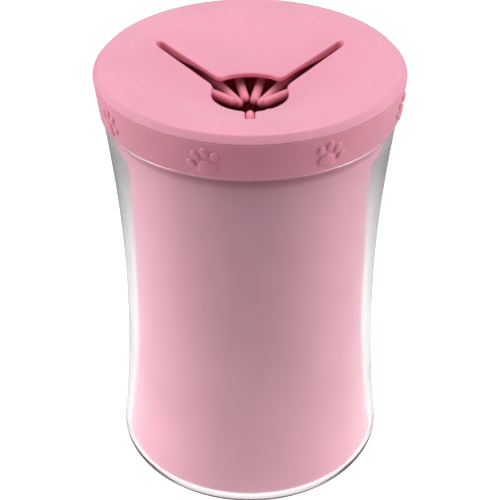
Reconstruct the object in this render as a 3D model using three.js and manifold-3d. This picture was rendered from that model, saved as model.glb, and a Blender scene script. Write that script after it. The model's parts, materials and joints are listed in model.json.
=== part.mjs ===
// Paw washer cup: a clear hourglass cup, a soft bristle liner that hangs inside it, and a lid made
// of a collar band and a soft funnel with three flaps. Millimetres, +Z up, origin at the centre of
// the base.
import * as THREE from 'three';
import { mergeVertices } from 'three/addons/utils/BufferGeometryUtils.js';
import Module from 'manifold-3d';

const wasm = await Module();
wasm.setup();

// ---- Driving dimensions ----
const HEIGHT = 149;
const LID_RADIUS = 50;
const GAP = 0.3; // clearance between pieces that touch
const ROUND_SEGMENTS = 48;

// Clear cup: hourglass wall, narrowest at the waist
const CUP_BASE_RADIUS = 46;
const CUP_BASE_CORNER = 6.2;
const CUP_WAIST_RADIUS = 42.7;
const CUP_WAIST_Z = 66;
const CUP_SHOULDER_RADIUS = 47.75;
const CUP_SHOULDER_Z = 133.75;
const CUP_NECK_RADIUS = 46.3;
const CUP_RIM_Z = 143.7;
const CUP_WALL = 1.7;
const CUP_FLOOR = 2.4;
const CUP_INNER_CORNER = 4.2;
const CUP_WALL_STEPS = 7;
const CUP_LOWER_POWER = 2.25; // how sharply the wall curves below the waist
const CUP_UPPER_POWER = 1.87; // and above it

// Bristle liner: a sleeve with a closed floor, a flange that rests on the cup's rim, and a soft
// skirt round its foot that folds in as it passes the cup's waist
const LINER_RADIUS = 39.3;
const LINER_MOUTH_RADIUS = 42;
const LINER_FLARE_Z = 96; // the sleeve widens to its mouth above this height
const LINER_FLARE_POWER = 1.4;
const LINER_WALL = 1.5;
const LINER_FLOOR = 2;
const LINER_CORNER = 4;
const FLANGE_THICKNESS = 1.4;
const LINER_BOTTOM_Z = CUP_FLOOR + GAP;
const FLANGE_Z = CUP_RIM_Z + GAP;
const SKIRT_RADIUS = 43.6;
const SKIRT_TOP_Z = 46;
const SKIRT_EDGE = 0.4; // thickness of the skirt's upper edge
const SKIRT_POWER = 1.6;

// Lid: the collar band carries the soft top, which meets it at a parting line
const LID_ROUNDING = 3.7;
const PARTING_Z = HEIGHT - 2.4;
const COLLAR_TOP_RADIUS = 49.95;
const COLLAR_BOTTOM_RADIUS = 48.4;
const COLLAR_BOTTOM_Z = CUP_SHOULDER_Z + GAP;
const COLLAR_CHAMFER = 0.45;
const COLLAR_BORE = CUP_NECK_RADIUS + GAP;
const LEDGE_BORE = 42;
const LEDGE_Z = FLANGE_Z + FLANGE_THICKNESS + GAP;
const LEDGE_THICKNESS = 1.2;
const LIP_BORE = 48.2; // inner radius of the top's down-turned lip

// Funnel in the lid's top, with three slits that part it into three flaps
const FUNNEL_RADIUS = 38.8;
const FUNNEL_SLOPE = 0.43;
const FUNNEL_BLEND = 1.9; // half width of the soft bend between the rim and the cone
const SHEET_THICKNESS = 1.6;
const HOLE_RADIUS = 12.5;
const SLIT_HALF_WIDTH = 1.6;
const SLIT_END_RADIUS = 35;
const SLIT_FROM_FLAP_DEG = 60; // each slit lies half way between two flaps
const MOUTH_FILLET = 2.5;
const FLAP_HALF_SPAN = 19;
const FLAP_RELIEF_DEG = 15;
const FLAP_BEARINGS = { flap_back: 90, flap_left: 210, flap_right: 330 };

// Bristles, each on a root bead just inside the sleeve. The top ring bends with the flaps, and the
// rings below it stand still.
const BRISTLE_COUNT = 15;
const BRISTLE_RINGS = 3;
const BRISTLE_RING_PITCH = 16.5;
const BRISTLE_FIRST_BEARING = 270;
const BRISTLE_DROOP_DEG = 10;
const BRISTLE_ROOT_RADIUS = 1.7;
const BRISTLE_TIP_RADIUS = 1.5;
const BRISTLE_TIP_REACH = 8; // distance of the tip bead's centre from the cup's axis
const BRISTLE_ROOT_Z = 136.5;
const BRISTLE_ROOT_REACH = LINER_RADIUS - LINER_WALL - GAP - BRISTLE_ROOT_RADIUS;
const BRISTLE_SIDES = 8;
const BRISTLE_CAP_STEPS = 3;

// ---- Materials ----
const silicone = (color, roughness) => new THREE.MeshStandardMaterial({ color, roughness, metalness: 0 });

function clearPlastic() {
  return new THREE.MeshStandardMaterial({
    color: 0xf4f2f3,
    roughness: 0.12,
    metalness: 0,
    transparent: true,
    opacity: 0.3,
  });
}

// ---- Small geometry helpers ----
const PRISM_DEPTH = 29; // cutting prisms reach this far below the top face
const PRISM_RISE = 10; // and this far above it
const radians = THREE.MathUtils.degToRad;
const point = (x, y) => new THREE.Vector2(x, y);

// Turns a profile of (radius, height) points about the vertical axis
function turned(profile, segments = ROUND_SEGMENTS) {
  const geometry = new THREE.LatheGeometry(profile, segments);
  return geometry.rotateX(Math.PI / 2);
}

function arc(centreX, centreY, radius, fromDeg, toDeg, steps) {
  return Array.from({ length: steps + 1 }, (_, i) => {
    const angle = radians(fromDeg + ((toDeg - fromDeg) * i) / steps);
    return point(centreX + radius * Math.cos(angle), centreY + radius * Math.sin(angle));
  });
}

function toManifold(geometry) {
  const bare = geometry.clone();
  bare.deleteAttribute('normal');
  bare.deleteAttribute('uv');
  const merged = mergeVertices(bare, 1e-4);
  const index = merged.index.array;
  const kept = [];
  for (let i = 0; i < index.length; i += 3) {
    const [a, b, c] = index.slice(i, i + 3);
    if (a !== b && b !== c && a !== c) kept.push(a, b, c);
  }
  const vertProperties = Float32Array.from(merged.attributes.position.array);
  return new wasm.Manifold(new wasm.Mesh({ numProp: 3, vertProperties, triVerts: Uint32Array.from(kept) }));
}

function fromManifold(solid) {
  const { vertProperties, triVerts } = solid.getMesh();
  const geometry = new THREE.BufferGeometry();
  geometry.setAttribute('position', new THREE.BufferAttribute(vertProperties, 3));
  geometry.setIndex(new THREE.BufferAttribute(triVerts, 1));
  geometry.computeVertexNormals();
  return geometry;
}

function named(name, geometry, material) {
  const mesh = new THREE.Mesh(geometry, material);
  mesh.name = name;
  return mesh;
}

// An outline in the lid's plane, raised through the whole depth of the funnel
function prism(shape, segments = 6) {
  const bottom = HEIGHT - PRISM_DEPTH;
  const top = HEIGHT + PRISM_RISE;
  const geometry = new THREE.ExtrudeGeometry(shape, {
    depth: top - bottom,
    bevelEnabled: false,
    curveSegments: segments,
  });
  return geometry.translate(0, 0, bottom);
}

// ---- Clear cup ----
// Wall radius of the hourglass: one power curve below the waist and one above it
function cupRadius(z) {
  if (z < CUP_WAIST_Z) {
    const t = (CUP_WAIST_Z - z) / (CUP_WAIST_Z - CUP_BASE_CORNER);
    return CUP_WAIST_RADIUS + (CUP_BASE_RADIUS - CUP_WAIST_RADIUS) * t ** CUP_LOWER_POWER;
  }
  const t = (z - CUP_WAIST_Z) / (CUP_SHOULDER_Z - CUP_WAIST_Z);
  return CUP_WAIST_RADIUS + (CUP_SHOULDER_RADIUS - CUP_WAIST_RADIUS) * t ** CUP_UPPER_POWER;
}

function cupWall(fromZ, toZ, inset) {
  return Array.from({ length: CUP_WALL_STEPS + 1 }, (_, i) => {
    const z = fromZ + ((toZ - fromZ) * i) / CUP_WALL_STEPS;
    return point(cupRadius(z) - inset, z);
  });
}

function clearCup() {
  const corner = CUP_BASE_CORNER;
  const innerCorner = CUP_INNER_CORNER;
  const neckBore = CUP_NECK_RADIUS - CUP_WALL;
  const innerFoot = cupRadius(CUP_FLOOR + innerCorner) - CUP_WALL;
  const profile = [
    point(0, 0),
    ...arc(CUP_BASE_RADIUS - corner, corner, corner, -90, 0, 4).slice(0, -1),
    ...cupWall(corner, CUP_SHOULDER_Z - 0.6, 0),
    point(CUP_SHOULDER_RADIUS - 0.6, CUP_SHOULDER_Z),
    point(CUP_NECK_RADIUS, CUP_SHOULDER_Z),
    point(CUP_NECK_RADIUS, CUP_RIM_Z),
    point(neckBore, CUP_RIM_Z),
    ...cupWall(CUP_SHOULDER_Z - 6, CUP_FLOOR + innerCorner, CUP_WALL),
    ...arc(innerFoot - innerCorner, CUP_FLOOR + innerCorner, innerCorner, 0, -90, 3).slice(1),
    point(0, CUP_FLOOR),
  ];
  return named('clear_cup', turned(profile), clearPlastic());
}

// ---- Bristle liner ----
// Outer radius of the sleeve: straight, then widening to the mouth
function linerRadius(z) {
  const t = THREE.MathUtils.clamp((z - LINER_FLARE_Z) / (FLANGE_Z - LINER_FLARE_Z), 0, 1);
  return LINER_RADIUS + (LINER_MOUTH_RADIUS - LINER_RADIUS) * t ** LINER_FLARE_POWER;
}

function linerMouth(topZ, inset) {
  const steps = 4;
  return Array.from({ length: steps + 1 }, (_, i) => {
    const z = LINER_FLARE_Z + ((topZ - LINER_FLARE_Z) * i) / steps;
    return point(linerRadius(z) - inset, z);
  });
}

function brushLiner() {
  const corner = LINER_CORNER;
  const cornerX = LINER_RADIUS - corner;
  const cornerZ = LINER_BOTTOM_Z + corner;
  const innerCorner = LINER_CORNER - LINER_WALL;
  const floorTop = LINER_BOTTOM_Z + LINER_FLOOR;
  const flangeTop = FLANGE_Z + FLANGE_THICKNESS;
  const profile = [
    point(0, LINER_BOTTOM_Z),
    ...arc(cornerX, cornerZ, corner, -90, 0, 3),
    ...linerMouth(FLANGE_Z, 0),
    point(CUP_NECK_RADIUS, FLANGE_Z),
    point(CUP_NECK_RADIUS, flangeTop),
    ...linerMouth(flangeTop, LINER_WALL).reverse(),
    ...arc(cornerX, floorTop + innerCorner, innerCorner, 0, -90, 2),
    point(0, floorTop),
  ];
  return named('brush_liner', turned(profile), silicone(0xe6a9bd, 0.55));
}

function linerSkirt() {
  const inner = LINER_RADIUS + GAP;
  const corner = SKIRT_RADIUS - inner;
  const cornerZ = LINER_BOTTOM_Z + corner;
  const steps = 5;
  const flare = Array.from({ length: steps + 1 }, (_, i) => {
    const t = 1 - i / steps;
    const z = SKIRT_TOP_Z - (SKIRT_TOP_Z - cornerZ) * t;
    return point(inner + SKIRT_EDGE + (corner - SKIRT_EDGE) * t ** SKIRT_POWER, z);
  });
  const profile = [
    ...arc(inner, cornerZ, corner, -90, 0, 4).slice(0, -1),
    ...flare,
    point(inner, SKIRT_TOP_Z),
    point(inner, LINER_BOTTOM_Z),
  ];
  return named('liner_skirt', turned(profile), silicone(0xe6a9bd, 0.55));
}

// One bristle: a slim cone between a root bead and a tip bead, lying along -X
function bristleGeometry() {
  const length = (BRISTLE_ROOT_REACH - BRISTLE_TIP_REACH) / Math.cos(radians(BRISTLE_DROOP_DEG));
  const profile = [
    ...arc(0, 0, BRISTLE_ROOT_RADIUS, -90, 0, BRISTLE_CAP_STEPS),
    ...arc(0, length, BRISTLE_TIP_RADIUS, 0, 90, BRISTLE_CAP_STEPS),
  ];
  profile[0].x = 0;
  profile[profile.length - 1].x = 0;
  return new THREE.LatheGeometry(profile, BRISTLE_SIDES).rotateZ(Math.PI / 2);
}

// A ring of bristles; the odd rings are turned by half a step, so that each gap has a bristle below
function bristleRing(ringIndex, prefix) {
  const ring = new THREE.Group();
  ring.position.z = BRISTLE_ROOT_Z - ringIndex * BRISTLE_RING_PITCH;
  for (let i = 0; i < BRISTLE_COUNT; i += 1) {
    const bearing = new THREE.Group();
    const steps = i + 0.5 * (ringIndex % 2);
    bearing.rotation.z = radians(BRISTLE_FIRST_BEARING + (360 * steps) / BRISTLE_COUNT);
    const name = `${prefix}${String(i + 1).padStart(2, '0')}`;
    const bristle = named(name, bristleGeometry(), silicone(0xe58fa9, 0.5));
    bristle.position.x = BRISTLE_ROOT_REACH;
    bristle.rotation.y = -radians(BRISTLE_DROOP_DEG);
    bearing.add(bristle);
    ring.add(bearing);
  }
  return ring;
}

function bristles() {
  const rings = new THREE.Group();
  rings.add(bristleRing(0, 'bristle_'));
  for (let ringIndex = 1; ringIndex < BRISTLE_RINGS; ringIndex += 1) {
    rings.add(bristleRing(ringIndex, `bristle_row${ringIndex + 1}_`));
  }
  return rings;
}

// ---- Lid collar: a tapered band with a ledge that clamps the liner's flange ----
function lidCollar() {
  const chamfer = COLLAR_CHAMFER;
  const top = PARTING_Z - GAP;
  const ledgeTop = LEDGE_Z + LEDGE_THICKNESS;
  const ledgeEdge = LIP_BORE - GAP;
  const profile = [
    point(COLLAR_BORE, COLLAR_BOTTOM_Z),
    point(COLLAR_BOTTOM_RADIUS - chamfer, COLLAR_BOTTOM_Z),
    point(COLLAR_BOTTOM_RADIUS, COLLAR_BOTTOM_Z + chamfer),
    point(COLLAR_TOP_RADIUS, top - chamfer),
    point(COLLAR_TOP_RADIUS - chamfer, top),
    point(ledgeEdge, top),
    point(ledgeEdge, ledgeTop),
    point(LEDGE_BORE, ledgeTop),
    point(LEDGE_BORE, LEDGE_Z),
    point(COLLAR_BORE, LEDGE_Z),
    point(COLLAR_BORE, COLLAR_BOTTOM_Z),
  ];
  return named('lid_collar', turned(profile), silicone(0xdd97ab, 0.5));
}

// ---- Soft top with its funnel ----
// Height of the top face: level at the rim, then a soft bend into the cone
function topFace(radius) {
  const inward = FUNNEL_RADIUS - radius;
  if (inward <= -FUNNEL_BLEND) return HEIGHT;
  if (inward >= FUNNEL_BLEND) return HEIGHT - FUNNEL_SLOPE * inward;
  return HEIGHT - (FUNNEL_SLOPE * (inward + FUNNEL_BLEND) ** 2) / (4 * FUNNEL_BLEND);
}

const sheetDrop = SHEET_THICKNESS / Math.cos(Math.atan(FUNNEL_SLOPE));
const underside = (radius) => topFace(radius) - sheetDrop;

function lidTopBlank() {
  const inner = HOLE_RADIUS - 1;
  const bendStart = FUNNEL_RADIUS - FUNNEL_BLEND;
  const bendEnd = FUNNEL_RADIUS + FUNNEL_BLEND;
  const lidEdge = LID_RADIUS - LID_ROUNDING;
  const edgeZ = HEIGHT - LID_ROUNDING;
  const partingDeg = THREE.MathUtils.radToDeg(Math.asin((PARTING_Z - edgeZ) / LID_ROUNDING));
  const ledgeSeat = LEDGE_Z + LEDGE_THICKNESS + GAP;
  const profile = [
    point(inner, underside(inner)),
    point(bendStart, underside(bendStart)),
    point(FUNNEL_RADIUS, underside(FUNNEL_RADIUS)),
    point(bendEnd, ledgeSeat),
    point(LIP_BORE, ledgeSeat),
    point(LIP_BORE, PARTING_Z),
    ...arc(lidEdge, edgeZ, LID_ROUNDING, partingDeg, 90, 4),
    point(bendEnd, HEIGHT),
    point(FUNNEL_RADIUS, topFace(FUNNEL_RADIUS)),
    point(bendStart, topFace(bendStart)),
    point(inner, topFace(inner)),
    point(inner, underside(inner)),
  ];
  return turned(profile);
}

const foldDistance = SLIT_END_RADIUS / 2; // fold lines join neighbouring slit ends

function rectangle(fromX, toX, halfWidth) {
  return new THREE.Shape([
    point(fromX, -halfWidth),
    point(toX, -halfWidth),
    point(toX, halfWidth),
    point(fromX, halfWidth),
  ]);
}

function slitShape() {
  const shape = new THREE.Shape();
  const endCentre = SLIT_END_RADIUS - SLIT_HALF_WIDTH;
  shape.moveTo(0, -SLIT_HALF_WIDTH);
  shape.lineTo(endCentre, -SLIT_HALF_WIDTH);
  shape.absarc(endCentre, 0, SLIT_HALF_WIDTH, -Math.PI / 2, Math.PI / 2, false);
  shape.lineTo(0, SLIT_HALF_WIDTH);
  return shape;
}

function lidTop() {
  let solid = toManifold(lidTopBlank());
  for (const bearing of Object.values(FLAP_BEARINGS)) {
    const window = prism(rectangle(0, foldDistance, FLAP_HALF_SPAN + GAP)).rotateZ(radians(bearing));
    const slit = prism(slitShape()).rotateZ(radians(bearing + SLIT_FROM_FLAP_DEG));
    solid = solid.subtract(toManifold(window)).subtract(toManifold(slit));
  }
  return named('lid_top', fromManifold(solid), silicone(0xf4acc1, 0.5));
}

// ---- Flaps ----
// Outline of a flap that points along +X: fold edge, slit edges, and the hole's arc with its
// corners rounded where the slits open into the hole
function flapOutline() {
  const slitDeg = SLIT_FROM_FLAP_DEG;
  const filletReach = HOLE_RADIUS + MOUTH_FILLET;
  const filletOffset = SLIT_HALF_WIDTH + MOUTH_FILLET;
  const filletDeg = slitDeg - THREE.MathUtils.radToDeg(Math.asin(filletOffset / filletReach));
  const centre = (side) => [
    filletReach * Math.cos(radians(filletDeg)),
    side * filletReach * Math.sin(radians(filletDeg)),
  ];
  const slitEdgeX = (y) => (SLIT_HALF_WIDTH + y * Math.cos(radians(slitDeg))) / Math.sin(radians(slitDeg));
  const fold = foldDistance - GAP;
  const shape = new THREE.Shape();
  shape.moveTo(fold, -FLAP_HALF_SPAN);
  shape.lineTo(fold, FLAP_HALF_SPAN);
  shape.lineTo(slitEdgeX(FLAP_HALF_SPAN), FLAP_HALF_SPAN);
  shape.absarc(...centre(1), MOUTH_FILLET, radians(slitDeg + 90), radians(filletDeg + 180), false);
  shape.absarc(0, 0, HOLE_RADIUS, radians(filletDeg), radians(-filletDeg), true);
  shape.absarc(...centre(-1), MOUTH_FILLET, radians(180 - filletDeg), radians(270 - slitDeg), false);
  shape.lineTo(slitEdgeX(FLAP_HALF_SPAN), -FLAP_HALF_SPAN);
  return shape;
}

function flap(name, bearingDeg) {
  const inner = HOLE_RADIUS - 2;
  const outer = FUNNEL_RADIUS - FUNNEL_BLEND;
  const cone = turned([
    point(inner, underside(inner)),
    point(outer, underside(outer)),
    point(outer, topFace(outer)),
    point(inner, topFace(inner)),
    point(inner, underside(inner)),
  ]);
  const hingeZ = underside(foldDistance);
  const reliefDepth = 20;
  const reliefHeight = 60;
  const reliefBox = new THREE.BoxGeometry(reliefDepth, 3 * FLAP_HALF_SPAN, reliefHeight)
    .translate(reliefDepth / 2, 0, reliefHeight / 2)
    .rotateY(-radians(FLAP_RELIEF_DEG))
    .translate(foldDistance - GAP, 0, hingeZ);
  const bearing = radians(bearingDeg);
  const outline = prism(flapOutline(), 4).rotateZ(bearing);
  const solid = toManifold(cone)
    .intersect(toManifold(outline))
    .subtract(toManifold(reliefBox.rotateZ(bearing)));
  return named(name, fromManifold(solid), silicone(0xf2a7bd, 0.5));
}

// ---- Assembly ----
const pawWasherCup = new THREE.Group();
pawWasherCup.add(clearCup(), brushLiner(), linerSkirt(), bristles(), lidCollar(), lidTop());
for (const [name, bearing] of Object.entries(FLAP_BEARINGS)) {
  pawWasherCup.add(flap(name, bearing));
}

export default pawWasherCup;
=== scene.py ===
import json
import math

import bmesh
import bpy
from mathutils import Matrix, Vector
from mathutils.geometry import delaunay_2d_cdt


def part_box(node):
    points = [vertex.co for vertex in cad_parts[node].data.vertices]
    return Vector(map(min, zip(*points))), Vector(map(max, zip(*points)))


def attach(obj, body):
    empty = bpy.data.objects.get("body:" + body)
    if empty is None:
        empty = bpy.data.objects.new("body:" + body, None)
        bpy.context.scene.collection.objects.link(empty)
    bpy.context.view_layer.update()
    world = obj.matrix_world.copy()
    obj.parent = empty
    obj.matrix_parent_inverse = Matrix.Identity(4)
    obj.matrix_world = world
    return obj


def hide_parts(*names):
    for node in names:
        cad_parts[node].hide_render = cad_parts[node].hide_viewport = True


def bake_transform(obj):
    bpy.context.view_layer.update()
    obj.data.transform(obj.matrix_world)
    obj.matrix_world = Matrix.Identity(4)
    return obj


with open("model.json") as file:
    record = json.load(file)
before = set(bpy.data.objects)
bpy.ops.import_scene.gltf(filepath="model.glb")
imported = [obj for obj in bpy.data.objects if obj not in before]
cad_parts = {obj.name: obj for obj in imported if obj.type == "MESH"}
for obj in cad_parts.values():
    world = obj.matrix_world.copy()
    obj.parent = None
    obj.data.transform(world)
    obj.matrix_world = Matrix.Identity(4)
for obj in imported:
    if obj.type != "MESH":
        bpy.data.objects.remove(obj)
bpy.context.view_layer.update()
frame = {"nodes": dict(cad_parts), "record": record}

# Paw washer cup: clear hourglass cup, soft bristle liner, and a lid with a slit funnel.
# Metres, +Z up, in the CAD frame. Shapes are worked out in millimetres and scaled once.

MM = 0.001


def top_of(node):
    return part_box(node)[1][2] / MM


def bottom_of(node):
    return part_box(node)[0][2] / MM


def radius_of(node):
    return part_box(node)[1][0] / MM


# ---- Sizes, in millimetres, from the frame where it has them ----
HEIGHT = top_of("lid_top")
LID_RADIUS = 50
GAP = 0.3

CUP_RIM_Z = top_of("clear_cup")
CUP_BASE_RADIUS = 46
CUP_BASE_CORNER = 6.2
CUP_WAIST_RADIUS = 42.7
CUP_WAIST_Z = 66
CUP_LOWER_POWER = 2.25  # how late the wall swells out below the waist
CUP_UPPER_POWER = 1.87  # and above it
CUP_SHOULDER_RADIUS = radius_of("clear_cup")
CUP_SHOULDER_Z = bottom_of("lid_collar") - GAP
CUP_NECK_RADIUS = radius_of("brush_liner")
CUP_WALL = 1.7
CUP_FLOOR = 2.4
CUP_INNER_CORNER = 4.2
CUP_LIP = 0.7
CUP_SHOULDER_ROUND = 0.9
CUP_NECK_FILLET = 0.3
BASE_RING_RADIUS = 24  # a shallow ring moulded into the underside
BASE_RING_WIDTH = 3
BASE_RING_DEPTH = 0.25

LINER_BOTTOM_Z = bottom_of("brush_liner")
LINER_TOP_Z = top_of("brush_liner")
LINER_RADIUS = 39.3
LINER_MOUTH_RADIUS = 42
LINER_FLARE_Z = 96
LINER_FLARE_POWER = 1.4
SKIRT_RADIUS = radius_of("liner_skirt")
SKIRT_BLEND_Z = top_of("liner_skirt") + 6
SKIRT_POWER = 1.7
LINER_WALL = 1.5
LINER_FLOOR = 2
LINER_CORNER = 4
LINER_LIP = 0.6
FLANGE_THICKNESS = 1.4

RIM_BEVEL_WIDTH = 2.2  # the rim slopes in by this much from the parting line to the top face
PARTING_Z = HEIGHT - 2.4
COLLAR_TOP_Z = PARTING_Z - 0.06  # the soft top presses down on the collar
COLLAR_BOTTOM_Z = bottom_of("lid_collar")
PAINTED_COLLAR_SHADOW = (0.72, 0.5, 0.55)  # painted shadow of the collar: just under it, the sleeve's colour is multiplied by this
PAINTED_COLLAR_SHADOW_FROM_Z = COLLAR_BOTTOM_Z - 7.5
PAINTED_COLLAR_SHADOW_FULL_Z = COLLAR_BOTTOM_Z - 4.5
COLLAR_TOP_RADIUS = radius_of("lid_collar")
COLLAR_BOTTOM_RADIUS = 48.4
COLLAR_BORE = CUP_NECK_RADIUS + GAP
LEDGE_BORE = 42
LEDGE_Z = LINER_TOP_Z + GAP
LEDGE_TOP_Z = top_of("lid_collar")
LIP_BORE = 48.2

FUNNEL_RADIUS = 38.8
FUNNEL_SLOPE = 0.43
FUNNEL_BLEND = 1.9
SHEET_THICKNESS = 1.6
SHEET_THICKENING = 1.5  # more of it round the slits' outer ends
THICKENS_FROM, THICKENS_OVER = 18, 13
THINS_FROM, THINS_OVER = 36, 4
SHEET_DROP = SHEET_THICKNESS / math.cos(math.atan(FUNNEL_SLOPE))
HOLE_RADIUS = 12.5
SLIT_HALF_WIDTH = 1.6
SLIT_END_RADIUS = 35
SLIT_DEG = 60
MOUTH_FILLET = 2.5
SECTOR_RADIUS = 42  # the flap sectors meet the rim ring here, where the top is level
EDGE_ROUND = 0.45
FLAPS = {"flap_back": 90, "flap_left": 210, "flap_right": 330}
BACK_FLAP_LIFT = 1.2  # the back flap's tip sits a little proud of the others
LIFT_SPAN = 12

BRISTLE_DROOP_DEG = 10
BRISTLE_TIP_REACH = 8
BRISTLE_REACHES = (7.9, 6.3, 6.7, 6.2, 7.3, 6.2, 6.4, 6.9)  # of the top ring, one after the other
SHORT_BRISTLES = (4, 11)  # the two at the sides end further from the axis
SHORT_BRISTLE_REACH = 12.5
PROPPED_BRISTLES = 5  # every fifth one lies on its neighbour
PROPPED_BY_DEG = 2.8
LOWER_REACH_SPREAD = 0.8
FRONT_BRISTLE_REACH = 14
FRONT_BRISTLE_DROOP_DEG = 6
FRONT_BRISTLE_CURL = 2.7
BRISTLE_TIP_RADIUS = 1.48
BRISTLE_ROOT_RADIUS = 1.7
BRISTLE_ROOT_SINK = 0.5  # the root starts this far inside the sleeve's wall
BRISTLE_ROOT_FLARE = 0.9
BRISTLE_FLARE_LENGTH = 0.8
BRISTLE_RINGS = 7
RING_PITCH = 16.5

PAW_COUNT = 8
PAW_PHASE_DEG = -16.1
PAW_LEAN_DEG = 24
PAW_Z = 139.7
PAW_TOES = ((3.9, 0.7, 1.2, 1.6, -30), (1.5, 2.9, 1.3, 1.75, -10))  # x, y, half width, half height, lean
PAW_PAD = (3.1, 2.25)
PAW_PAD_DROP = 2.0
RELIEF_STEPS = ((0, -0.15), (0.03, 0.1), (0.12, 0.3), (0.28, 0.44), (0.5, 0.5))  # inset, height
RELIEF_CROWN = 0.05


# ---- Mesh helpers ----
def smooth_step(t):
    t = min(max(t, 0.0), 1.0)
    return t * t * (3 - 2 * t)


def new_object(name, bm, sharp_deg=38):
    """Turns a bmesh in millimetres into an object in metres with smooth shading."""
    bmesh.ops.scale(bm, vec=(MM, MM, MM), verts=bm.verts)
    bmesh.ops.recalc_face_normals(bm, faces=bm.faces)
    mesh = bpy.data.meshes.new(name)
    bm.to_mesh(mesh)
    bm.free()
    mesh.shade_smooth()
    mesh.set_sharp_from_angle(angle=math.radians(sharp_deg))
    obj = bpy.data.objects.new(name, mesh)
    bpy.context.scene.collection.objects.link(obj)
    return obj


def arc(centre_x, centre_y, radius, from_deg, to_deg, steps):
    """The points of a circular arc, both ends included."""
    points = []
    for i in range(steps + 1):
        angle = math.radians(from_deg + (to_deg - from_deg) * i / steps)
        points.append((centre_x + radius * math.cos(angle), centre_y + radius * math.sin(angle)))
    return points


def fillet(corners, steps=4):
    """Rounds a closed outline: each corner is (x, y, radius)."""
    outline = []
    count = len(corners)
    for i, (x, y, radius) in enumerate(corners):
        here = Vector((x, y))
        if radius <= 0:
            outline.append((x, y))
            continue
        before = (Vector(corners[i - 1][:2]) - here).normalized()
        after = (Vector(corners[(i + 1) % count][:2]) - here).normalized()
        half = before.angle(after) / 2
        cut = radius / math.tan(half)
        centre = here + (before + after).normalized() * radius / math.sin(half)
        start = here + before * cut - centre
        turn = start.angle_signed(here + after * cut - centre)
        for j in range(steps + 1):
            swing = Matrix.Rotation(-turn * j / steps, 2)
            outline.append(tuple(centre + swing @ start))
    return outline


def spun(name, profile, segments=192, closed=True):
    """Spins a (radius, height) profile about Z. A point on the axis becomes one pole."""
    bm = bmesh.new()
    rings = []
    for radius, z in profile:
        if radius < 1e-6:
            rings.append([bm.verts.new((0, 0, z))])
            continue
        ring = []
        for i in range(segments):
            angle = 2 * math.pi * i / segments
            ring.append(bm.verts.new((radius * math.cos(angle), radius * math.sin(angle), z)))
        rings.append(ring)
    pairs = list(zip(rings, rings[1:]))
    if closed:
        pairs.append((rings[-1], rings[0]))
    for low, high in pairs:
        for i in range(segments):
            j = (i + 1) % segments
            corners = [low[i % len(low)], low[j % len(low)], high[j % len(high)], high[i % len(high)]]
            corners = list(dict.fromkeys(corners))  # three of them beside a pole
            if len(corners) > 2:
                bm.faces.new(corners)
    return new_object(name, bm)


# ---- Materials ----
def principled(name):
    material = bpy.data.materials.new(name)
    material.use_nodes = True
    return material, material.node_tree, material.node_tree.nodes["Principled BSDF"]


def node(tree, kind, **inputs):
    made = tree.nodes.new(kind)
    for key, value in inputs.items():
        made.inputs[key].default_value = value
    return made


def noise(tree, scale, detail, roughness):
    coords = tree.nodes.new("ShaderNodeTexCoord")
    made = node(tree, "ShaderNodeTexNoise", Scale=scale, Detail=detail, Roughness=roughness)
    tree.links.new(coords.outputs["Object"], made.inputs["Vector"])
    return made.outputs["Fac"]


def ramp(tree, factor, low, high, start=0.35, end=0.65):
    made = tree.nodes.new("ShaderNodeValToRGB")
    made.color_ramp.elements[0].position = start
    made.color_ramp.elements[1].position = end
    made.color_ramp.elements[0].color = (*low, 1)
    made.color_ramp.elements[1].color = (*high, 1)
    tree.links.new(factor, made.inputs["Fac"])
    return made.outputs["Color"]


def map_range(tree, factor, low, high):
    made = node(tree, "ShaderNodeMapRange")
    made.inputs["To Min"].default_value = low
    made.inputs["To Max"].default_value = high
    tree.links.new(factor, made.inputs["Value"])
    return made.outputs["Result"]


def bump(tree, height, distance, strength, below=None):
    made = node(tree, "ShaderNodeBump", Distance=distance, Strength=strength)
    tree.links.new(height, made.inputs["Height"])
    if below is not None:
        tree.links.new(below, made.inputs["Normal"])
    return made.outputs["Normal"]


def silicone(name, colour, roughness=0.52, sheen=0.15, glow=0.12):
    """Matte moulded silicone: cloudy colour, a fine mould grain and slightly uneven gloss."""
    material, tree, shader = principled(name)
    darker = tuple(c * 0.95 for c in colour)
    lighter = tuple(min(1.0, c * 1.03) for c in colour)
    cloud = noise(tree, 38, 4, 0.55)
    tree.links.new(ramp(tree, cloud, darker, lighter), shader.inputs["Base Color"])
    gloss = map_range(tree, noise(tree, 260, 3, 0.6), roughness - 0.06, roughness + 0.08)
    tree.links.new(gloss, shader.inputs["Roughness"])
    grain = bump(tree, noise(tree, 7000, 2, 0.5), 0.000012, 0.5)
    swell = bump(tree, noise(tree, 120, 2, 0.4), 0.00006, 0.35, below=grain)
    tree.links.new(swell, shader.inputs["Normal"])
    shader.inputs["IOR"].default_value = 1.42
    shader.inputs["Sheen Weight"].default_value = sheen
    shader.inputs["Sheen Roughness"].default_value = 0.5
    if glow:
        shader.inputs["Subsurface Weight"].default_value = glow
        shader.inputs["Subsurface Radius"].default_value = (1.0, 0.35, 0.35)
        shader.inputs["Subsurface Scale"].default_value = 0.0015
    return material


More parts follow.
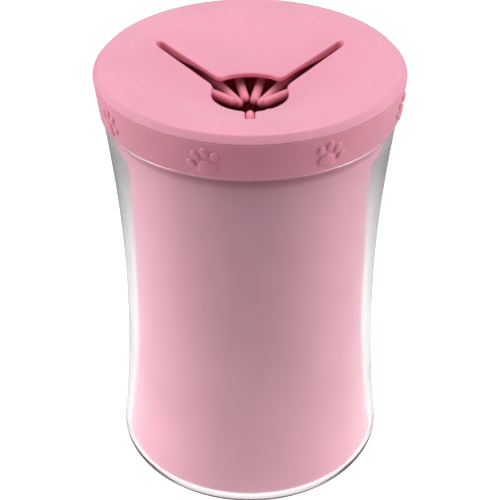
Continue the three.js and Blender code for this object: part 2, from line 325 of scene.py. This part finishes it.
def paint_collar_shadow(material):
    """Painted shadow of the lid's collar: deepens the sleeve's colour where it widens into its mouth,
    close under the collar.
    """
    tree = material.node_tree
    shader = tree.nodes["Principled BSDF"]
    cloud = shader.inputs["Base Color"].links[0].from_socket
    coords = tree.nodes.new("ShaderNodeTexCoord")
    axes = tree.nodes.new("ShaderNodeSeparateXYZ")
    tree.links.new(coords.outputs["Object"], axes.inputs[0])
    height = node(tree, "ShaderNodeMapRange")
    height.inputs["From Min"].default_value = PAINTED_COLLAR_SHADOW_FROM_Z * MM
    height.inputs["From Max"].default_value = PAINTED_COLLAR_SHADOW_FULL_Z * MM
    tree.links.new(axes.outputs["Z"], height.inputs["Value"])
    mix = tree.nodes.new("ShaderNodeMixRGB")
    mix.blend_type = "MULTIPLY"
    tree.links.new(height.outputs["Result"], mix.inputs["Fac"])
    tree.links.new(cloud, mix.inputs["Color1"])
    mix.inputs["Color2"].default_value = (*PAINTED_COLLAR_SHADOW, 1)
    tree.links.new(mix.outputs["Color"], shader.inputs["Base Color"])


def clear_plastic(name):
    """Clear moulded plastic: very faint smoke, soft waviness and a slightly uneven polish. Lamps
    shine straight through it, as they do through a thin clear wall."""
    material, tree, shader = principled(name)
    smoke = ramp(tree, noise(tree, 30, 3, 0.5), (0.97, 0.945, 0.955), (0.985, 0.965, 0.975))
    tree.links.new(smoke, shader.inputs["Base Color"])
    path = tree.nodes.new("ShaderNodeLightPath")
    see_through = node(tree, "ShaderNodeBsdfTransparent", Color=(0.94, 0.93, 0.935, 1))
    mix = tree.nodes.new("ShaderNodeMixShader")
    tree.links.new(path.outputs["Is Shadow Ray"], mix.inputs[0])
    tree.links.new(shader.outputs[0], mix.inputs[1])
    tree.links.new(see_through.outputs[0], mix.inputs[2])
    tree.links.new(mix.outputs[0], tree.nodes["Material Output"].inputs["Surface"])
    tree.links.new(map_range(tree, noise(tree, 420, 4, 0.6), 0.02, 0.09), shader.inputs["Roughness"])
    wave = bump(tree, noise(tree, 55, 2, 0.3), 0.00018, 0.3)
    tree.links.new(wave, shader.inputs["Normal"])
    shader.inputs["Transmission Weight"].default_value = 1.0
    shader.inputs["IOR"].default_value = 1.46
    return material


def dress(obj, material, slot, body, *stands_for):
    """Gives a piece its material, the nodes that it stands for and the body it rides. The slot is not
    used.
    """
    obj.data.materials.append(material)
    if stands_for:
        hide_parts(*stands_for)
    if body:
        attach(obj, body)


# ---- Clear cup ----
def cup_radius(z):
    """Outer radius of the hourglass wall."""
    if z < CUP_WAIST_Z:
        t = (CUP_WAIST_Z - z) / (CUP_WAIST_Z - CUP_BASE_CORNER)
        return CUP_WAIST_RADIUS + (CUP_BASE_RADIUS - CUP_WAIST_RADIUS) * t**CUP_LOWER_POWER
    t = (z - CUP_WAIST_Z) / (CUP_SHOULDER_Z - CUP_WAIST_Z)
    return CUP_WAIST_RADIUS + (CUP_SHOULDER_RADIUS - CUP_WAIST_RADIUS) * t**CUP_UPPER_POWER


def cup_wall(from_z, to_z, inset, steps=44):
    heights = [from_z + (to_z - from_z) * i / steps for i in range(steps + 1)]
    return [(cup_radius(z) - inset, z) for z in heights]


def build_cup():
    corner = CUP_BASE_CORNER
    inner = CUP_INNER_CORNER
    neck_bore = CUP_NECK_RADIUS - CUP_WALL
    foot = cup_radius(CUP_FLOOR + inner) - CUP_WALL
    lip = CUP_LIP
    rounding = CUP_SHOULDER_ROUND
    notch = CUP_NECK_FILLET
    ring_in, ring_out = BASE_RING_RADIUS, BASE_RING_RADIUS + BASE_RING_WIDTH
    profile = [(0, 0.0), (ring_in, 0.0), (ring_in + 0.5, BASE_RING_DEPTH)]
    profile += [(ring_out - 0.5, BASE_RING_DEPTH), (ring_out, 0.0)]
    profile += arc(CUP_BASE_RADIUS - corner, corner, corner, -90, 0, 12)[:-1]
    profile += cup_wall(corner, CUP_SHOULDER_Z - 1.2, 0)
    profile += arc(CUP_SHOULDER_RADIUS - rounding - 0.05, CUP_SHOULDER_Z - rounding, rounding, 10, 90, 5)
    profile += arc(CUP_NECK_RADIUS + notch, CUP_SHOULDER_Z + notch, notch, -90, -180, 3)
    profile += arc(CUP_NECK_RADIUS - lip, CUP_RIM_Z - lip, lip, 0, 90, 4)
    profile += arc(neck_bore + lip, CUP_RIM_Z - lip, lip, 90, 180, 4)
    profile += [(neck_bore, CUP_SHOULDER_Z + 2)]
    profile += cup_wall(CUP_SHOULDER_Z - 4, CUP_FLOOR + inner, CUP_WALL)
    profile += arc(foot - inner, CUP_FLOOR + inner, inner, 0, -90, 10)[1:]
    profile += [(0, CUP_FLOOR)]
    cup = spun("cup_shell", profile, closed=False)
    dress(cup, clear_plastic("clear_plastic_wall"), "clear_plastic", "cup", "clear_cup")


# ---- Bristle liner ----
def liner_radius(z):
    """Outer radius of the sleeve: straight, then widening to its mouth."""
    flange_z = LINER_TOP_Z - FLANGE_THICKNESS
    t = min(max((z - LINER_FLARE_Z) / (flange_z - LINER_FLARE_Z), 0), 1)
    return LINER_RADIUS + (LINER_MOUTH_RADIUS - LINER_RADIUS) * t**LINER_FLARE_POWER


def liner_mouth(top_z, inset, steps=24):
    heights = [LINER_FLARE_Z + (top_z - LINER_FLARE_Z) * i / steps for i in range(steps + 1)]
    return [(liner_radius(z) - inset, z) for z in heights]


def liner_skirt(steps=30):
    """The flared foot, from its corner up to where it runs out into the sleeve."""
    corner_z = LINER_BOTTOM_Z + LINER_CORNER
    curve = []
    for i in range(steps + 1):
        t = 1 - i / steps
        flare = (SKIRT_RADIUS - LINER_RADIUS) * t**SKIRT_POWER
        curve.append((LINER_RADIUS + flare, SKIRT_BLEND_Z - (SKIRT_BLEND_Z - corner_z) * t))
    return curve


def build_liner():
    floor_top = LINER_BOTTOM_Z + LINER_FLOOR
    flange_z = LINER_TOP_Z - FLANGE_THICKNESS
    edge = FLANGE_THICKNESS / 2
    corner = LINER_CORNER
    inner_corner = corner - LINER_WALL
    lip = LINER_LIP
    profile = [(0, LINER_BOTTOM_Z)]
    profile += arc(SKIRT_RADIUS - corner, LINER_BOTTOM_Z + corner, corner, -90, 0, 8)[:-1]
    profile += liner_skirt()
    profile += liner_mouth(flange_z - 0.5, 0)
    profile += arc(CUP_NECK_RADIUS - edge, flange_z + edge, edge, -90, 90, 8)
    profile += arc(liner_radius(LINER_TOP_Z) - LINER_WALL + lip, LINER_TOP_Z - lip, lip, 90, 180, 5)
    profile += liner_mouth(LINER_TOP_Z - lip - 0.5, LINER_WALL)[::-1]
    profile += arc(LINER_RADIUS - corner, floor_top + inner_corner, inner_corner, 0, -90, 5)
    profile += [(0, floor_top)]
    liner = spun("liner_sleeve", profile, segments=160, closed=False)
    dress(liner, LINER_MATERIAL, "liner_silicone", "liner", "brush_liner", "liner_skirt")
    # the sleeve's inside and floor take the darker copy, painted shade
    liner.data.materials.append(LINER_INSIDE_SHADE_MATERIAL)
    for face in liner.data.polygons:
        outward = face.center.x * face.normal.x + face.center.y * face.normal.y
        on_wall = face.center.z > floor_top * MM * 0.99 and outward < 0
        on_floor = abs(face.center.z - floor_top * MM) < 1e-5
        face.material_index = int(on_wall or on_floor)


def add_bristle(bm, bearing, root_z, reach, droop_deg=BRISTLE_DROOP_DEG, curl=0, sides=18, rows=14):
    """A soft finger from the sleeve's wall in to where it is reach from the axis, flared where it
    joins the wall. The curl is how far its tip is lifted."""
    tip = BRISTLE_TIP_RADIUS
    droop = math.radians(droop_deg)
    out = Vector((math.cos(bearing), math.sin(bearing), 0))
    axis = (-out * math.cos(droop) - Vector((0, 0, 1)) * math.sin(droop)).normalized()
    side = Vector((-out.y, out.x, 0))
    across = axis.cross(side)
    wall = liner_radius(root_z) - LINER_WALL
    hinge = LINER_RADIUS - LINER_WALL - GAP - BRISTLE_ROOT_RADIUS
    pivot = out * hinge + Vector((0, 0, root_z))
    start = -(wall + BRISTLE_ROOT_SINK - hinge) / math.cos(droop)
    end = (hinge - reach) / math.cos(droop)
    stations = []
    for i in range(rows + 1):
        s = start + (end - start) * (i / rows) ** 1.25  # closer together near the root
        taper = max(s, 0) / end
        past_root = max(s - start - 0.4, 0)
        flare = BRISTLE_ROOT_FLARE * math.exp(-past_root / BRISTLE_FLARE_LENGTH)
        stations.append((s, BRISTLE_ROOT_RADIUS + (tip - BRISTLE_ROOT_RADIUS) * taper + flare))
    for i in range(1, 6):
        angle = math.pi / 2 * i / 6
        stations.append((end + tip * math.sin(angle), tip * math.cos(angle)))

    def rise(s):
        return Vector((0, 0, 1)) * curl * max(s / end, 0) ** 3

    rings = []
    for s, radius in stations:
        ring = []
        for k in range(sides):
            turn = 2 * math.pi * k / sides
            offset = side * math.cos(turn) * radius + across * math.sin(turn) * radius
            ring.append(bm.verts.new(pivot + axis * s + rise(s) + offset))
        rings.append(ring)
    for low, high in zip(rings, rings[1:]):
        for k in range(sides):
            bm.faces.new((low[k], low[(k + 1) % sides], high[(k + 1) % sides], high[k]))
    cap = bm.verts.new(pivot + axis * (end + tip) + rise(end + tip))
    for k in range(sides):
        bm.faces.new((rings[-1][k], rings[-1][(k + 1) % sides], cap))
    bm.faces.new(rings[0][::-1])


def bent_bristles():
    """The hinge of each bristle of the top ring, by node."""
    joints = frame["record"]["behaviour"]["joints"]
    return {j["child"]: Vector(j["pos_m"]) for j in joints if j["child"].startswith("bristle_")}


def soft_pose(index):
    """Reach, droop and upward curl of a bristle of the top ring. They are soft, so they lie a
    little unevenly, and the one at the front curls up into the lid's front slit."""
    if index == 0:
        return FRONT_BRISTLE_REACH, FRONT_BRISTLE_DROOP_DEG, FRONT_BRISTLE_CURL
    if index in SHORT_BRISTLES:
        return SHORT_BRISTLE_REACH, BRISTLE_DROOP_DEG, 0
    lift = PROPPED_BY_DEG if index % PROPPED_BRISTLES == 0 else 0
    return BRISTLE_REACHES[index % len(BRISTLE_REACHES)], BRISTLE_DROOP_DEG - lift, 0


def build_top_bristles():
    for index, (name, hinge) in enumerate(bent_bristles().items()):
        bearing = math.atan2(hinge.y, hinge.x)
        reach, droop_deg, curl = soft_pose(index)
        bm = bmesh.new()
        add_bristle(bm, bearing, hinge.z / MM, reach, droop_deg, curl)
        bristle = new_object(f"soft_{name}", bm)
        dress(bristle, BRISTLE_MATERIAL, "bristle_silicone", None, name)
        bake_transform(bristle)


def build_lower_bristles():
    """The rings below. Each is one piece, and stands for the nodes of its row if there are any."""
    count = len(bent_bristles())
    top_z = next(iter(bent_bristles().values())).z / MM
    step = 2 * math.pi / count
    for ring in range(1, BRISTLE_RINGS):
        bm = bmesh.new()
        for i in range(count):
            bearing = math.radians(270) + step * (i + 0.5 * (ring % 2))
            reach = BRISTLE_TIP_REACH + LOWER_REACH_SPREAD * math.sin(i * 3.1 + ring) ** 2
            add_bristle(bm, bearing, top_z - RING_PITCH * ring, reach, sides=12, rows=8)
        row = new_object(f"soft_row{ring + 1}", bm)
        stands_for = [n for n in frame["nodes"] if n.startswith(f"bristle_row{ring + 1}_")]
        dress(row, BRISTLE_MATERIAL, "bristle_silicone", "liner", *stands_for)


# ---- Lid collar with raised paw prints ----
def collar_radius(z):
    t = (z - COLLAR_BOTTOM_Z) / (COLLAR_TOP_Z - COLLAR_BOTTOM_Z)
    return COLLAR_BOTTOM_RADIUS + (COLLAR_TOP_RADIUS - COLLAR_BOTTOM_RADIUS) * t


def build_collar():
    corners = [
        (COLLAR_BORE, COLLAR_BOTTOM_Z, 0.25),
        (COLLAR_BOTTOM_RADIUS, COLLAR_BOTTOM_Z, 0.5),
        (COLLAR_TOP_RADIUS, COLLAR_TOP_Z, 0.14),
        (LIP_BORE - GAP, COLLAR_TOP_Z, 0),
        (LIP_BORE - GAP, LEDGE_TOP_Z, 0.2),
        (LEDGE_BORE, LEDGE_TOP_Z, 0.3),
        (LEDGE_BORE, LEDGE_Z, 0.3),
        (COLLAR_BORE, LEDGE_Z, 0),
    ]
    collar = spun("collar_band", fillet(corners), segments=224)
    dress(collar, COLLAR_SILICONE_AND_LIGHT_MATERIAL, "collar_silicone", "lid", "lid_collar")


def paw_outlines():
    """The four toes and the pad, each a closed outline about the paw's centre, in millimetres."""
    outlines = []
    for side in (-1, 1):
        for x, y, wide, high, lean in PAW_TOES:
            turn = math.radians(side * lean)
            toe = []
            for i in range(28):
                a = 2 * math.pi * i / 28
                u, v = wide * math.cos(a), high * math.sin(a)
                across = u * math.cos(turn) - v * math.sin(turn)
                up = u * math.sin(turn) + v * math.cos(turn)
                toe.append((side * x + across, y + up))
            outlines.append(toe)
    pad = []
    wide, high = PAW_PAD
    for i in range(56):
        a = 2 * math.pi * i / 56
        lobes = 0.09 * math.cos(3 * (a - math.pi / 2))
        notch = 0.07 * math.exp(-((a - 1.5 * math.pi) / 0.33) ** 2)
        swell = 1 + lobes - notch
        pad.append((wide * swell * math.cos(a), high * swell * math.sin(a) - PAW_PAD_DROP))
    outlines.append(pad)
    return outlines


def add_relief(bm, outline, bearing_deg, tilt_deg):
    """A raised, round-edged shape laid on the collar's tapered face."""
    tilt = Matrix.Rotation(math.radians(tilt_deg), 2)
    turned = [tilt @ Vector(p) for p in outline]
    count = len(turned)
    centre = sum(turned, Vector((0, 0))) / count

    def on_collar(flat, height):
        z = PAW_Z + flat.y
        radius = collar_radius(z) + height
        bearing = math.radians(bearing_deg) + flat.x / collar_radius(z)
        return bm.verts.new((radius * math.cos(bearing), radius * math.sin(bearing), z))

    loops = []
    for inset, height in RELIEF_STEPS:
        loops.append([on_collar(p + (centre - p).normalized() * inset, height) for p in turned])
    for low, high in zip(loops, loops[1:]):
        for i in range(count):
            j = (i + 1) % count
            bm.faces.new((low[i], low[j], high[j], high[i]))
    for loop, height in ((loops[0], RELIEF_STEPS[0][1]), (loops[-1], RELIEF_STEPS[-1][1] + RELIEF_CROWN)):
        middle = on_collar(centre, height)
        for i in range(count):
            bm.faces.new((loop[i], loop[(i + 1) % count], middle))


def build_paws():
    for i in range(PAW_COUNT):
        bm = bmesh.new()
        bearing = 270 + PAW_PHASE_DEG + 360 * i / PAW_COUNT
        lean = PAW_LEAN_DEG if i % 2 == 0 else -PAW_LEAN_DEG
        for outline in paw_outlines():
            add_relief(bm, outline, bearing, lean)
        paw = new_object(f"paw_print_{i + 1}", bm, sharp_deg=60)
        dress(paw, COLLAR_SILICONE_AND_LIGHT_MATERIAL, "collar_silicone", "lid")


# ---- Lid top: a rim ring and three flap sectors ----
def sheet_drop(radius):
    """Height from the top face down to the underside: thickest round the slits' outer ends."""
    thickens = smooth_step((radius - THICKENS_FROM) / THICKENS_OVER)
    thicker = thickens * (1 - smooth_step((radius - THINS_FROM) / THINS_OVER))
    return SHEET_DROP + SHEET_THICKENING * thicker


def top_face(radius):
    """Height of the lid's top face: level outside, then a cone down to the hole."""
    inward = FUNNEL_RADIUS - radius
    if inward <= -FUNNEL_BLEND:
        return HEIGHT
    if inward >= FUNNEL_BLEND:
        return HEIGHT - FUNNEL_SLOPE * inward
    return HEIGHT - FUNNEL_SLOPE * (inward + FUNNEL_BLEND) ** 2 / (4 * FUNNEL_BLEND)


def build_rim():
    underside = HEIGHT - SHEET_DROP
    foot_z = PARTING_Z + 0.02
    corners = [
        (SECTOR_RADIUS, HEIGHT, 0),
        (SECTOR_RADIUS, underside, 0),
        (LIP_BORE, underside, 0),
        (LIP_BORE, foot_z, 0),
        (LID_RADIUS, foot_z, 0.16),
        (LID_RADIUS - RIM_BEVEL_WIDTH, HEIGHT, 1.1),
    ]
    rim = spun("lid_rim", fillet(corners, steps=7), segments=240)
    dress(rim, LID_MATERIAL, "lid_silicone", "lid", "lid_top")


def free_edge(inset):
    """The cut edge of a sector that points along +X: slit, rounded corner, hole, corner, slit."""
    along = Vector((math.cos(math.radians(SLIT_DEG)), math.sin(math.radians(SLIT_DEG))))
    inward = Vector((along.y, -along.x))
    width = SLIT_HALF_WIDTH + inset
    end_centre = along * (SLIT_END_RADIUS - SLIT_HALF_WIDTH)
    points = []
    for i in range(9):
        a = math.pi / 2 * i / 8
        points.append(end_centre + width * (along * math.cos(a) + inward * math.sin(a)))
    reach = HOLE_RADIUS + MOUTH_FILLET
    offset = SLIT_HALF_WIDTH + MOUTH_FILLET
    tangent_at = math.sqrt(reach**2 - offset**2)  # where the slit runs into its mouth's fillet
    far = SLIT_END_RADIUS - SLIT_HALF_WIDTH
    for i in range(1, 30):
        points.append(along * (far + (tangent_at - far) * i / 30) + inward * width)
    centre = along * tangent_at + inward * offset
    radius = MOUTH_FILLET - inset
    from_slit = math.atan2(-inward.y, -inward.x)
    to_hole = math.atan2(-centre.y, -centre.x)
    if to_hole < from_slit:
        to_hole += 2 * math.pi
    for i in range(11):
        a = from_slit + (to_hole - from_slit) * i / 10
        points.append(centre + radius * Vector((math.cos(a), math.sin(a))))
    start = math.atan2(centre.y, centre.x)
    for i in range(1, 24):
        a = start * (1 - i / 24)
        points.append((HOLE_RADIUS + inset) * Vector((math.cos(a), math.sin(a))))
    mirrored = [Vector((p.x, -p.y)) for p in points[::-1]]
    middle = [Vector((HOLE_RADIUS + inset, 0))]
    return points + middle + mirrored


def sector_surround(inset):
    """The rest of a sector's outline: out along one seam, round the rim, back along the other."""
    inner = SLIT_END_RADIUS + inset
    seam = [inner + (SECTOR_RADIUS - inner) * i / 7 for i in range(1, 8)]
    low = [(r * math.cos(math.radians(-SLIT_DEG)), r * math.sin(math.radians(-SLIT_DEG))) for r in seam]
    round_rim = arc(0, 0, SECTOR_RADIUS, -SLIT_DEG, SLIT_DEG, 80)[1:-1]
    high = [(x, -y) for x, y in low[::-1]]
    return [Vector(p) for p in low + round_rim + high]


def distance_inside(x, y):
    """How far a point of the sector lies from the slits and the hole."""
    angle = math.radians(SLIT_DEG)
    along = x * math.cos(angle) + abs(y) * math.sin(angle)
    across = x * math.sin(angle) - abs(y) * math.cos(angle)
    end = SLIT_END_RADIUS - SLIT_HALF_WIDTH
    to_slit = (across if along < end else math.hypot(along - end, across)) - SLIT_HALF_WIDTH
    if across < 0:
        return -1
    return min(to_slit, math.hypot(x, y) - HOLE_RADIUS - 0.2)


def fill_sector(bm, place, depth, flip):
    """Meshes one face of a sector, inside its outline, with points on a triangular grid."""
    border = free_edge(EDGE_ROUND) + sector_surround(EDGE_ROUND)
    spacing = 1.3
    row_pitch = 0.866 * spacing
    inside = []
    rows = int(SECTOR_RADIUS / spacing) + 1
    for i in range(rows):
        for j in range(-rows, rows + 1):
            x = spacing * i + (spacing / 2 if j % 2 else 0)
            y = row_pitch * j
            from_seam = x * math.sin(math.radians(SLIT_DEG)) - abs(y) * math.cos(math.radians(SLIT_DEG))
            if from_seam < 0.6 or math.hypot(x, y) > SECTOR_RADIUS - 0.7:
                continue
            if distance_inside(x, y) > EDGE_ROUND + 0.55:
                inside.append(Vector((x, y)))
    loop = list(range(len(border)))
    points, _, faces, _, _, _ = delaunay_2d_cdt(border + inside, [], [loop], 1, 1e-5)
    verts = [bm.verts.new(place(p.x, p.y, depth)) for p in points]
    for face in faces:
        corners = [verts[i] for i in face]
        bm.faces.new(corners[::-1] if flip else corners)


def build_sector(name, bearing_deg, body, lift):
    """A third of the sheet, meshed as one piece: a flap, which on the real lid bends, and the level part
    round it, which stays put.
    """
    bearing = math.radians(bearing_deg)
    fold = SLIT_END_RADIUS / 2

    def place(x, y, depth):
        """A point of the sheet; depth runs from 0 on the top face to 1 on the underside."""
        radius = math.hypot(x, y)
        raised = lift * smooth_step((fold + 2 - x) / LIFT_SPAN)
        z = top_face(radius) + raised - depth * sheet_drop(radius)
        east = x * math.cos(bearing) - y * math.sin(bearing)
        north = x * math.sin(bearing) + y * math.cos(bearing)
        return (east, north, z)

    bm = bmesh.new()
    fill_sector(bm, place, 0, False)
    fill_sector(bm, place, 1, True)
    rows = []
    for i in range(5):
        a = math.pi / 2 * i / 4
        rows.append((EDGE_ROUND * (1 - math.sin(a)), EDGE_ROUND * (1 - math.cos(a)) / SHEET_DROP))
    rows += [(inset, 1 - depth) for inset, depth in rows[::-1]]
    strips = [[bm.verts.new(place(p.x, p.y, depth)) for p in free_edge(inset)] for inset, depth in rows]
    for upper, lower in zip(strips, strips[1:]):
        for k in range(len(upper) - 1):
            face = bm.faces.new((upper[k], upper[k + 1], lower[k + 1], lower[k]))
            # the cut walls take the redder copy, painted bounce light
            face.material_index = 1
    surround = sector_surround(EDGE_ROUND)
    edge = free_edge(EDGE_ROUND)
    border = [edge[-1]] + surround + [edge[0]]
    for a, b in zip(border, border[1:]):
        corners = [place(a.x, a.y, 0), place(b.x, b.y, 0), place(b.x, b.y, 1), place(a.x, a.y, 1)]
        bm.faces.new([bm.verts.new(c) for c in corners])
    for end in (0, -1):
        seam = [(free_edge(inset)[end], depth) for inset, depth in rows]
        bm.faces.new([bm.verts.new(place(p.x, p.y, depth)) for p, depth in seam])
    bmesh.ops.remove_doubles(bm, verts=bm.verts, dist=1e-4)
    sector = new_object(name, bm)
    out = Vector((math.cos(bearing), math.sin(bearing), 0))
    height = top_face(fold) * MM
    end = out * (HOLE_RADIUS + 0.3) * MM + Vector((0, 0, height))
    dress(sector, LID_MATERIAL, "lid_silicone", None, body)
    sector.data.materials.append(CUT_EDGE_BOUNCE_LIGHT_MATERIAL)
    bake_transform(sector)


# ---- Studio and camera, in metres ----
AMBIENT = 0.225
PANEL_GLOW = 0.22
PANEL_FADE = (0.058, 0.09)  # this and the other spans below are distances from the axis
BACKDROP_GLOW = (0.36, 0.11)
BACKDROP_FADE = (0.11, 0.19)
FLOOR_TONES = (0.8, 0.3)
FLOOR_FADE = (0.10, 0.20)
LIGHT_AIM = Vector((0, 0, 0.08))
FLOOR_SIZE = 8
FLOOR_DROP = 0.0002  # the floor lies this far under the cup, so that their faces don't coincide
SOFTBOXES = [  # name, place, size, power
    ("left_softbox", (-0.75, -0.05, 0.30), (0.55, 0.9), 4.4),
    ("right_softbox", (0.75, -0.05, 0.30), (0.55, 0.9), 4.5),
    ("top_softbox", (0, 0.12, 0.95), (0.8, 0.8), 5.7),
]
CAMERA_LENS = 106.46
CAMERA_AIM = Vector((0, 0, 0.07704))
CAMERA_DISTANCE = 0.5083
CAMERA_ELEVATION_DEG = 33.75


def area_light(name, location, size, power):
    data = bpy.data.lights.new(name, "AREA")
    data.shape = "RECTANGLE"
    data.size, data.size_y = size
    data.energy = power
    lamp = bpy.data.objects.new(name, data)
    lamp.location = location
    lamp.rotation_euler = (LIGHT_AIM - lamp.location).to_track_quat("-Z", "Y").to_euler()
    bpy.context.scene.collection.objects.link(lamp)


def floor_material():
    """White where the camera looks straight at it. Through the clear wall it is bright near the cup
    and greyer far from it. As a source of bounced light it is a pale grey card, brighter round the
    cup, with a lit panel right under it."""
    material, tree, shader = principled("pale_floor")
    shader.inputs["Roughness"].default_value = 0.8
    coords = tree.nodes.new("ShaderNodeTexCoord")
    reach = node(tree, "ShaderNodeVectorMath")
    reach.operation = "LENGTH"
    tree.links.new(coords.outputs["Object"], reach.inputs[0])
    distance = reach.outputs["Value"]
    near, far = FLOOR_TONES
    tone = ramp(tree, distance, (near, near, near), (far, far, far), *FLOOR_FADE)
    tree.links.new(tone, shader.inputs["Base Color"])
    shader.inputs["Emission Color"].default_value = (1, 1, 1, 1)
    seen = tree.nodes.new("ShaderNodeLightPath")

    def fade(over, levels):
        """A strength that runs from one level to the other over a span of distance."""
        made = node(tree, "ShaderNodeMapRange")
        for key, value in zip(("From Min", "From Max", "To Min", "To Max"), (*over, *levels)):
            made.inputs[key].default_value = value
        tree.links.new(distance, made.inputs["Value"])
        return made.outputs["Result"]

    glow = node(tree, "ShaderNodeMapRange")
    tree.links.new(seen.outputs["Is Camera Ray"], glow.inputs["Value"])
    backdrop = node(tree, "ShaderNodeMath")
    backdrop.operation = "MULTIPLY_ADD"
    tree.links.new(fade(BACKDROP_FADE, BACKDROP_GLOW), backdrop.inputs[1])
    tree.links.new(seen.outputs["Is Transmission Ray"], backdrop.inputs[0])
    tree.links.new(fade(PANEL_FADE, (PANEL_GLOW, 0)), backdrop.inputs[2])
    tree.links.new(backdrop.outputs[0], glow.inputs["To Min"])
    tree.links.new(glow.outputs["Result"], shader.inputs["Emission Strength"])
    return material


def build_studio():
    scene = bpy.context.scene
    scene.view_settings.view_transform = "Standard"
    world = bpy.data.worlds.new("studio")
    scene.world = world
    world.use_nodes = True
    tree = world.node_tree
    background = tree.nodes["Background"]
    path = tree.nodes.new("ShaderNodeLightPath")
    level = tree.nodes.new("ShaderNodeMapRange")
    level.inputs["To Min"].default_value = AMBIENT
    level.inputs["To Max"].default_value = 1.0
    tree.links.new(path.outputs["Is Camera Ray"], level.inputs["Value"])
    tree.links.new(level.outputs["Result"], background.inputs["Strength"])
    background.inputs["Color"].default_value = (1, 1, 1, 1)

    bpy.ops.mesh.primitive_plane_add(size=FLOOR_SIZE, location=(0, 0, -FLOOR_DROP))
    floor = bpy.context.object
    floor.name = "studio_floor"
    floor.data.materials.append(floor_material())

    for name, place, size, power in SOFTBOXES:
        area_light(name, place, size, power)


def build_camera():
    data = bpy.data.cameras.new("camera")
    data.lens = CAMERA_LENS
    camera = bpy.data.objects.new("camera", data)
    elevation = math.radians(CAMERA_ELEVATION_DEG)
    outward = Vector((0, -math.cos(elevation), math.sin(elevation)))
    camera.location = CAMERA_AIM + CAMERA_DISTANCE * outward
    camera.rotation_euler = (CAMERA_AIM - camera.location).to_track_quat("-Z", "Y").to_euler()
    bpy.context.scene.collection.objects.link(camera)
    bpy.context.scene.camera = camera


LID_MATERIAL = silicone("lid_silicone_matte", (0.79, 0.335, 0.445), glow=0.35)
# painted light: a redder copy of the lid's silicone on the cut walls of the slits and hole, for the red
# light bouncing between them
CUT_EDGE_BOUNCE_LIGHT_MATERIAL = silicone("lid_cut_edge_painted_bounce_light", (0.9, 0.3, 0.41), glow=0.35)
# partly painted light: the collar and its paws are the lid's pink silicone made brighter, standing for
# side light on the band
COLLAR_SILICONE_AND_LIGHT_MATERIAL = silicone("collar_silicone_and_painted_light", (0.95, 0.345, 0.455), roughness=0.48, sheen=0.3)
LINER_MATERIAL = silicone("liner_silicone_matte", (0.84, 0.41, 0.51), roughness=0.6, sheen=0, glow=0)
# painted shade: a darker, redder copy of the sleeve's silicone for its inside and floor, where the cup
# lies in shade
LINER_INSIDE_SHADE_MATERIAL = silicone("liner_inside_painted_shade", (0.84, 0.16, 0.22), roughness=0.6, glow=0)
BRISTLE_MATERIAL = silicone("bristle_silicone_matte", (0.89, 0.28, 0.38), glow=0.3)
# painted shadow of the collar on the sleeve's mouth
paint_collar_shadow(LINER_MATERIAL)

build_camera()
build_cup()
build_liner()
build_top_bristles()
build_lower_bristles()
build_collar()
build_paws()
build_rim()
for flap_name, flap_bearing in FLAPS.items():
    flap_lift = BACK_FLAP_LIFT if flap_name == "flap_back" else 0
    build_sector(f"{flap_name}_sheet", flap_bearing, flap_name, flap_lift)
build_studio()
